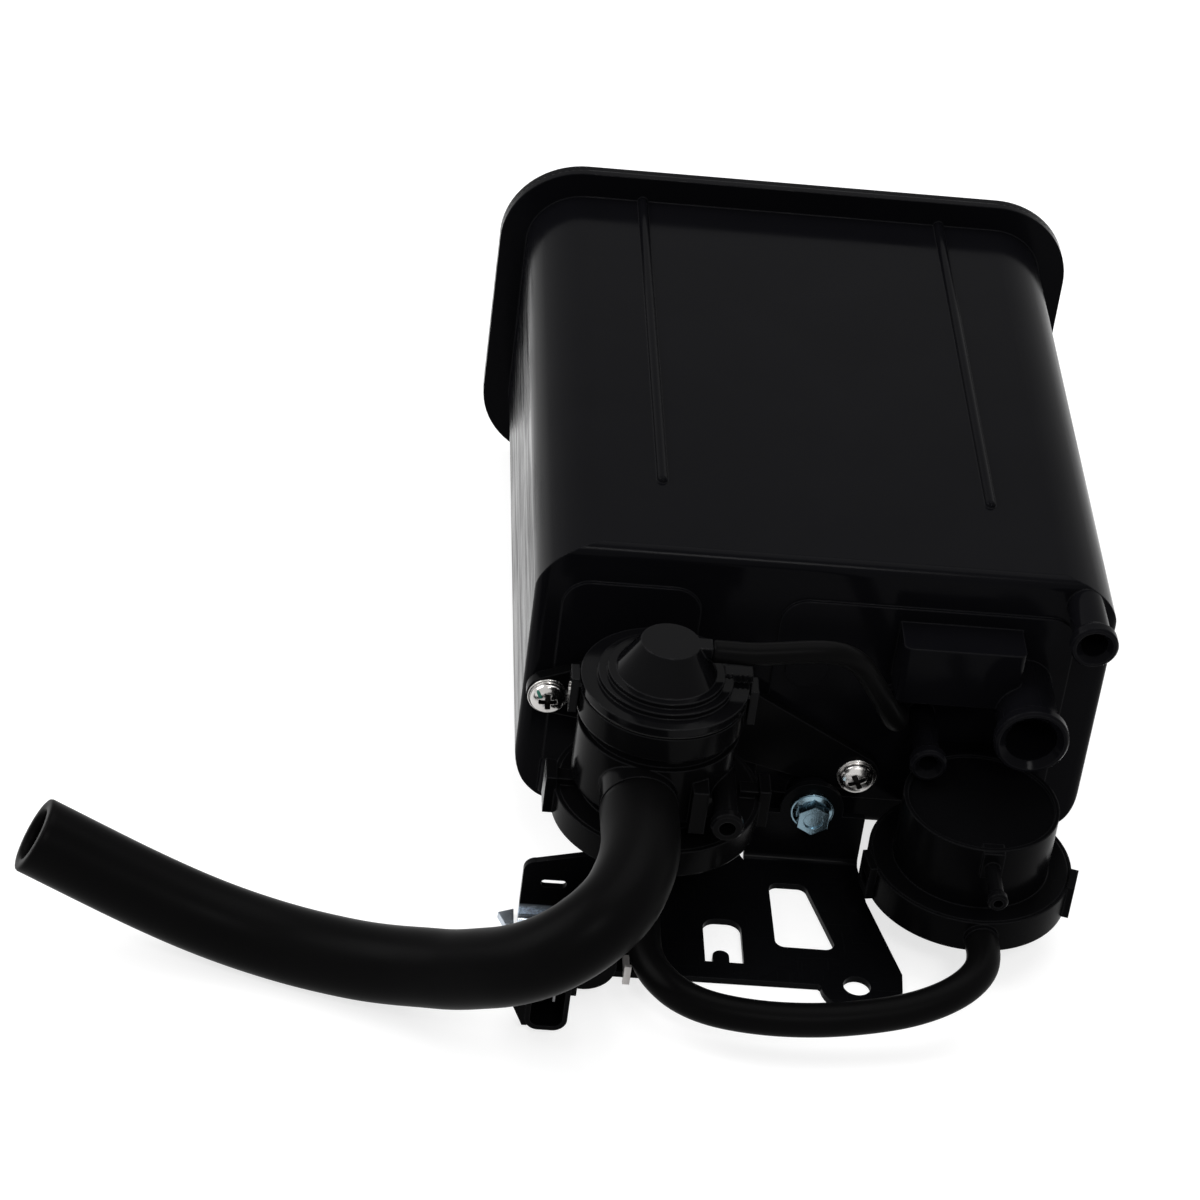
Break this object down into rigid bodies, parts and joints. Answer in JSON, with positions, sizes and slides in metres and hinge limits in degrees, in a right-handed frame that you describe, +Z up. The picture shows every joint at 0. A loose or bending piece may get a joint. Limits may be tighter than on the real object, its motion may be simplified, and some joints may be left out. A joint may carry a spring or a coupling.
{
  "type": "charcoal canister",
  "caption": "Fuel vapour canister: a flanged black case of active charcoal with a diaphragm valve, air filter, vent solenoid, hoses and mounting bracket at its port face.",
  "frame": {"origin": "Centre of the bracket's mounting hole, on the underside of the bracket plate, which is level with the lowest edge of the case's flange: the surface the part stands on.", "axes": "+Z up along the mounting hole, +Y from the port face towards the end cover along the case, +X to the right seen from the port end."},
  "size_m": [0.3576, 0.3669, 0.1242],
  "materials": {
    "case_plastic": "satin moulded black",
    "valve_plastic": "satin moulded black",
    "gloss_black": "glossy moulded black",
    "filter_plastic": "satin moulded black",
    "grid_plastic": "plain moulded",
    "solenoid_plastic": "fine moulded black",
    "charcoal": "packed active charcoal grains",
    "felt": "pressed felt",
    "filter_paper": "pleated filter paper",
    "spring_steel": "drawn wire",
    "plain_steel": "turned steel",
    "screw_steel": "bright plated",
    "zinc_plate": "bluish bright zinc",
    "seal_rubber": "smooth moulded rubber",
    "coil_copper": "lacquered winding",
    "terminal_brass": "plain brass",
    "bracket_paint": "glossy black paint on sheet steel",
    "clip_plastic": "pale moulded plastic",
    "hose_rubber": "matte moulded rubber"
  },
  "bodies": {
    "canister": {"canister_case": "case_plastic", "end_cover": "case_plastic", "valve_body": "valve_plastic", "valve_base_cap": "valve_plastic", "valve_cap": "gloss_black", "filter_cup": "filter_plastic", "filter_cap": "filter_plastic", "main_grid": "grid_plastic", "side_grid": "grid_plastic", "solenoid_body": "solenoid_plastic", "main_charcoal_bed": "charcoal", "side_charcoal_bed": "charcoal", "main_port_felt": "felt", "side_port_felt": "felt", "main_end_felt": "felt", "side_end_felt": "felt", "filter_element": "filter_paper", "bed_springs": "spring_steel", "valve_spring": "spring_steel", "plunger_spring": "spring_steel", "solenoid_core": "plain_steel", "valve_screws": "screw_steel", "bracket_bolt": "zinc_plate", "valve_diaphragm": "seal_rubber", "valve_base_seal": "seal_rubber", "valve_port_seal": "seal_rubber", "filter_seal": "seal_rubber", "solenoid_coil": "coil_copper", "connector_terminals": "terminal_brass", "bolt_insert": "terminal_brass", "mounting_bracket": "bracket_paint", "harness_clip": "clip_plastic", "tank_hose": "hose_rubber", "vent_hose": "hose_rubber", "link_hose": "hose_rubber", "signal_hose": "hose_rubber"},
    "pressure_plate": {"valve_plate": "plain_steel"},
    "plunger": {"solenoid_plunger": "plain_steel"}
  },
  "joints": [
    {"name": "pressure_lift", "type": "slide", "parent": "canister", "child": "pressure_plate", "axis": [0, 0, 1], "range_m": [0, 0.002], "stiffness_N_per_m": 150, "springref_m": -0.004, "deforming": ["valve_spring", "valve_diaphragm"]},
    {"name": "plunger_pull", "type": "slide", "parent": "canister", "child": "plunger", "axis": [0, -1, 0], "range_m": [0, 0.002], "stiffness_N_per_m": 200, "springref_m": -0.004, "deforming": ["plunger_spring"]}
  ]
}
